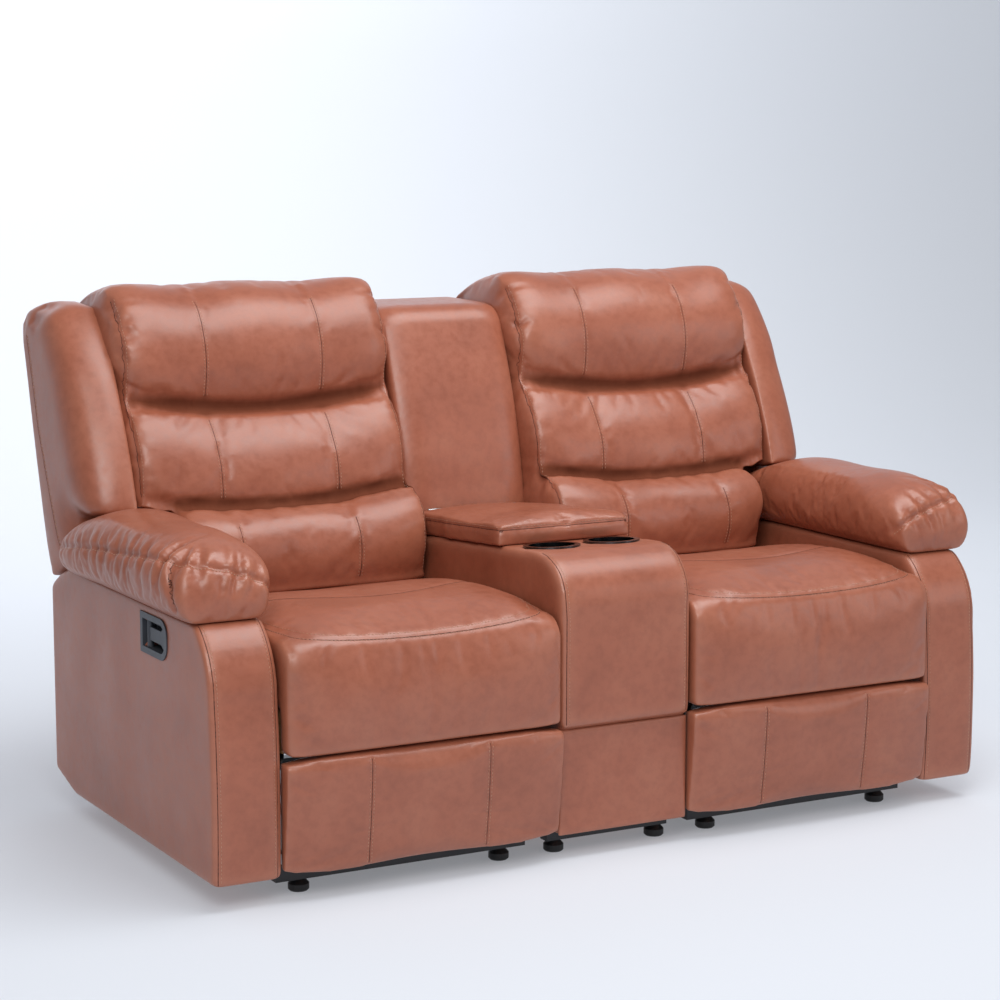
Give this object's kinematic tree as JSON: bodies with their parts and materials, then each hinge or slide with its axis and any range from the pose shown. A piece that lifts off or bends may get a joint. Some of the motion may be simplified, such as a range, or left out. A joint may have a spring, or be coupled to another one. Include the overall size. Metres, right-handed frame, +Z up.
{
  "type": "reclining sofa",
  "caption": "Reclining loveseat with a fixed centre console: padded arms, channelled backs that lean, fold-out footrests, pull handles, cup holders and a storage bin with a lid.",
  "frame": {"origin": "on the floor, at the middle of the sofa's outline seen from above", "axes": "+X to the right of someone facing the sofa, front towards -Y, +Z up"},
  "size_m": [1.7324, 0.9976, 1.037],
  "materials": {
    "leather": "satin",
    "plywood": "raw",
    "black_steel": "satin",
    "spring_steel": "zinc plated",
    "handle_plastic": "moulded",
    "black_plastic": "moulded",
    "cup_metal": "dark plated"
  },
  "bodies": {
    "frame": {"left_arm_cover": "leather", "left_arm_frame": "plywood", "left_arm_pad": "leather", "left_handle_bezel": "handle_plastic", "left_release_cable": "black_plastic", "left_base_frame": "black_steel", "right_arm_cover": "leather", "right_arm_frame": "plywood", "right_arm_pad": "leather", "right_handle_bezel": "handle_plastic", "right_release_cable": "black_plastic", "right_base_frame": "black_steel", "console_cover": "leather", "console_frame": "plywood", "console_kick_panel": "leather", "console_bin": "black_plastic", "cup_holders": "cup_metal", "lid_hinge_fixed": "spring_steel", "console_back_frame": "plywood", "console_back_cover": "leather", "console_back_pad": "leather", "console_base": "black_steel", "glides": "black_plastic"},
    "console_lid": {"lid_board": "plywood", "lid_pad": "leather", "lid_hinge_moving": "spring_steel"},
    "left_seat": {"left_seat_frame": "plywood", "left_seat_springs": "spring_steel", "left_seat_cushion": "leather", "left_seat_plates": "black_steel"},
    "left_back": {"left_back_frame": "plywood", "left_back_pivot_arms": "black_steel", "left_back_cover": "leather", "left_back_cushion": "leather", "left_back_wing": "leather"},
    "left_front_link": {"left_front_links": "black_steel"},
    "left_rear_link": {"left_rear_links": "black_steel"},
    "left_lower_link": {"left_lower_links": "black_steel"},
    "left_upper_link": {"left_upper_links": "black_steel"},
    "left_footrest": {"left_footrest_brackets": "black_steel", "left_footrest_board": "plywood", "left_footrest_pad": "leather"},
    "left_handle": {"left_handle_lever": "handle_plastic"},
    "right_seat": {"right_seat_frame": "plywood", "right_seat_springs": "spring_steel", "right_seat_cushion": "leather", "right_seat_plates": "black_steel"},
    "right_back": {"right_back_frame": "plywood", "right_back_pivot_arms": "black_steel", "right_back_cover": "leather", "right_back_cushion": "leather", "right_back_wing": "leather"},
    "right_front_link": {"right_front_links": "black_steel"},
    "right_rear_link": {"right_rear_links": "black_steel"},
    "right_lower_link": {"right_lower_links": "black_steel"},
    "right_upper_link": {"right_upper_links": "black_steel"},
    "right_footrest": {"right_footrest_brackets": "black_steel", "right_footrest_board": "plywood", "right_footrest_pad": "leather"},
    "right_handle": {"right_handle_lever": "handle_plastic"}
  },
  "joints": [
    {"name": "left_recline", "type": "hinge", "parent": "frame", "child": "left_back", "pos_m": [-0.428, 0.2, 0.23], "axis": [-1, 0, 0], "range_deg": [0, 35]},
    {"name": "left_seat_slide", "type": "slide", "parent": "frame", "child": "left_seat", "axis": [0, -1, 0], "range_m": [0, 0.0451]},
    {"name": "left_footrest_fold", "type": "hinge", "parent": "left_seat", "child": "left_front_link", "pos_m": [-0.428, -0.352, 0.238], "axis": [-1, 0, 0], "range_deg": [0, 136]},
    {"name": "left_rear_link_turn", "type": "hinge", "parent": "left_seat", "child": "left_rear_link", "pos_m": [-0.428, -0.3217, 0.2574], "axis": [-1, 0, 0], "range_deg": [0, 138.7]},
    {"name": "left_lower_link_turn", "type": "hinge", "parent": "left_front_link", "child": "left_lower_link", "pos_m": [-0.428, -0.2254, 0.1383], "axis": [-1, 0, 0], "range_deg": [-121.1, 0]},
    {"name": "left_upper_link_turn", "type": "hinge", "parent": "left_front_link", "child": "left_upper_link", "pos_m": [-0.428, -0.2332, 0.1135], "axis": [-1, 0, 0], "range_deg": [-116.9, 0]},
    {"name": "left_footrest_tilt", "type": "hinge", "parent": "left_lower_link", "child": "left_footrest", "pos_m": [-0.428, -0.404, 0.19], "axis": [-1, 0, 0], "range_deg": [0, 91.1]},
    {"name": "left_handle_pull", "type": "hinge", "parent": "frame", "child": "left_handle", "pos_m": [-0.813, -0.171, 0.442], "axis": [0, 0, -1], "range_deg": [0, 40], "stiffness_Nm_per_rad": 0.6},
    {"name": "right_recline", "type": "hinge", "parent": "frame", "child": "right_back", "pos_m": [0.428, 0.2, 0.23], "axis": [-1, 0, 0], "range_deg": [0, 35]},
    {"name": "right_seat_slide", "type": "slide", "parent": "frame", "child": "right_seat", "axis": [0, -1, 0], "range_m": [0, 0.0451]},
    {"name": "right_footrest_fold", "type": "hinge", "parent": "right_seat", "child": "right_front_link", "pos_m": [0.428, -0.352, 0.238], "axis": [-1, 0, 0], "range_deg": [0, 136]},
    {"name": "right_rear_link_turn", "type": "hinge", "parent": "right_seat", "child": "right_rear_link", "pos_m": [0.428, -0.3217, 0.2574], "axis": [-1, 0, 0], "range_deg": [0, 138.7]},
    {"name": "right_lower_link_turn", "type": "hinge", "parent": "right_front_link", "child": "right_lower_link", "pos_m": [0.428, -0.2254, 0.1383], "axis": [-1, 0, 0], "range_deg": [-121.1, 0]},
    {"name": "right_upper_link_turn", "type": "hinge", "parent": "right_front_link", "child": "right_upper_link", "pos_m": [0.428, -0.2332, 0.1135], "axis": [-1, 0, 0], "range_deg": [-116.9, 0]},
    {"name": "right_footrest_tilt", "type": "hinge", "parent": "right_lower_link", "child": "right_footrest", "pos_m": [0.428, -0.404, 0.19], "axis": [-1, 0, 0], "range_deg": [0, 91.1]},
    {"name": "right_handle_pull", "type": "hinge", "parent": "frame", "child": "right_handle", "pos_m": [0.813, -0.171, 0.442], "axis": [0, 0, 1], "range_deg": [0, 40], "stiffness_Nm_per_rad": 0.6},
    {"name": "console_lid_lift", "type": "hinge", "parent": "frame", "child": "console_lid", "pos_m": [0, 0.13447, 0.56962], "axis": [-1, 0, 0], "range_deg": [0, 95]}
  ],
  "couplings": [
    {"joint": "left_seat_slide", "follows": "left_recline", "m_per_rad": 0.07367},
    {"joint": "left_rear_link_turn", "follows": "left_footrest_fold", "ratio": 1.0191},
    {"joint": "left_lower_link_turn", "follows": "left_footrest_fold", "ratio": -0.88971},
    {"joint": "left_upper_link_turn", "follows": "left_footrest_fold", "ratio": -0.85882},
    {"joint": "left_footrest_tilt", "follows": "left_footrest_fold", "ratio": 0.66912},
    {"joint": "right_seat_slide", "follows": "right_recline", "m_per_rad": 0.07367},
    {"joint": "right_rear_link_turn", "follows": "right_footrest_fold", "ratio": 1.0191},
    {"joint": "right_lower_link_turn", "follows": "right_footrest_fold", "ratio": -0.88971},
    {"joint": "right_upper_link_turn", "follows": "right_footrest_fold", "ratio": -0.85882},
    {"joint": "right_footrest_tilt", "follows": "right_footrest_fold", "ratio": 0.66912}
  ]
}
